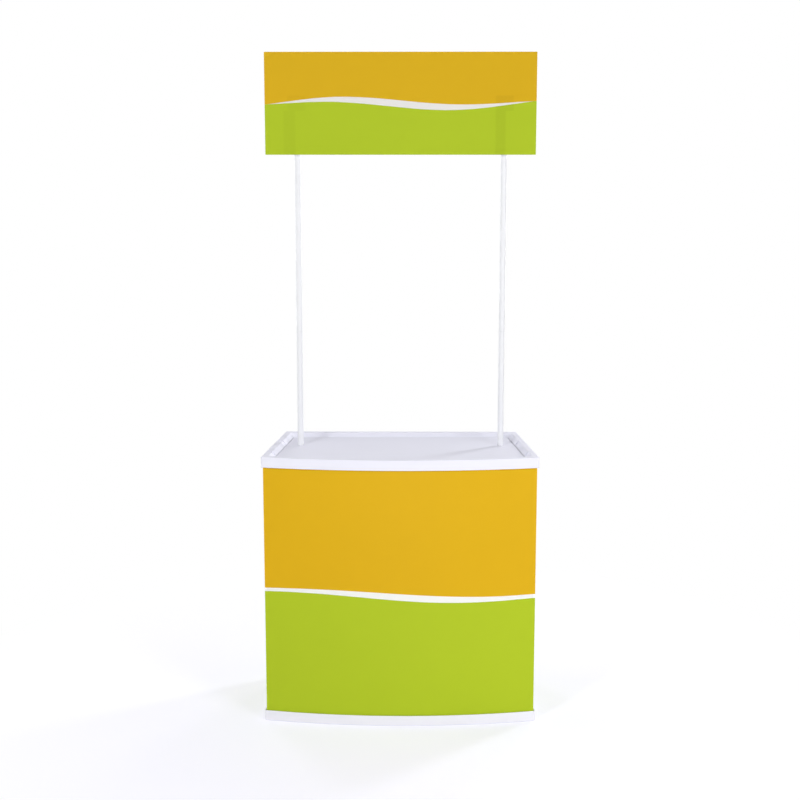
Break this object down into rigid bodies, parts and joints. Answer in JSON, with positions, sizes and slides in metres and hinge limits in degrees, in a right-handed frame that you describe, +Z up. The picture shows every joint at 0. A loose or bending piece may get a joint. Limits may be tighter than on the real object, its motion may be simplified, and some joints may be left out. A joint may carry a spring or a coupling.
{
  "type": "exhibition counter",
  "caption": "Demountable promotion counter: bowed wrap between two moulded trays, a shelf inside, and a header sign on two poles.",
  "frame": {"origin": "on the floor, under the middle of the footprint's bounding box", "axes": "+Z up, -Y to the visitor's side (the bowed front), +Y to the open back, +X to the visitor's right"},
  "size_m": [0.8332, 0.449, 2.026],
  "materials": {
    "tray": "satin white moulding",
    "panel": "smooth white sheet",
    "orange_film": "satin printed film",
    "green_film": "satin printed film",
    "bracket": "plain white",
    "pole": "satin white paint",
    "spigot": "plain white",
    "plug": "plain white",
    "board": "smooth white board",
    "clip": "satin white moulding",
    "screw": "bright"
  },
  "bodies": {
    "base": {"base_tray": "tray"},
    "wrap": {"wrap_panel": "panel", "wrap_upper_film": "orange_film", "wrap_lower_film": "green_film", "shelf_bracket_left_front": "bracket", "shelf_bracket_left_rear": "bracket", "shelf_bracket_right_front": "bracket", "shelf_bracket_right_rear": "bracket"},
    "worktop": {"worktop_tray": "tray"},
    "shelf": {"shelf_tray": "tray"},
    "left_lower": {"left_lower_pole": "pole", "left_pole_foot_plug": "plug", "left_pole_spigot": "spigot"},
    "right_lower": {"right_lower_pole": "pole", "right_pole_foot_plug": "plug", "right_pole_spigot": "spigot"},
    "left_upper": {"left_upper_pole": "pole", "left_pole_top_plug": "plug"},
    "right_upper": {"right_upper_pole": "pole", "right_pole_top_plug": "plug"},
    "header": {"header_board": "board", "header_upper_film": "orange_film", "header_lower_film": "green_film", "left_header_clip": "clip", "right_header_clip": "clip", "left_clip_upper_screw": "screw", "left_clip_lower_screw": "screw", "right_clip_upper_screw": "screw", "right_clip_lower_screw": "screw"}
  },
  "joints": [
    {"name": "wrap_lift", "type": "slide", "parent": "base", "child": "wrap", "axis": [0, 0, 1], "range_m": [0, 0.05]},
    {"name": "worktop_lift", "type": "slide", "parent": "wrap", "child": "worktop", "axis": [0, 0, 1], "range_m": [0, 0.05]},
    {"name": "shelf_lift", "type": "slide", "parent": "wrap", "child": "shelf", "axis": [0, 0, 1], "range_m": [0, 0.03]},
    {"name": "left_pole_lift", "type": "slide", "parent": "shelf", "child": "left_lower", "axis": [0, 0, 1], "range_m": [0, 0.06]},
    {"name": "right_pole_lift", "type": "slide", "parent": "shelf", "child": "right_lower", "axis": [0, 0, 1], "range_m": [0, 0.06]},
    {"name": "left_upper_lift", "type": "slide", "parent": "left_lower", "child": "left_upper", "axis": [0, 0, 1], "range_m": [0, 0.05]},
    {"name": "right_upper_lift", "type": "slide", "parent": "right_lower", "child": "right_upper", "axis": [0, 0, 1], "range_m": [0, 0.05]},
    {"name": "header_lift", "type": "slide", "parent": "left_upper", "child": "header", "axis": [0, 0, 1], "range_m": [0, 0.05]}
  ],
  "couplings": [
    {"joint": "right_pole_lift", "follows": "left_pole_lift", "ratio": 1},
    {"joint": "right_upper_lift", "follows": "left_upper_lift", "ratio": 1}
  ]
}
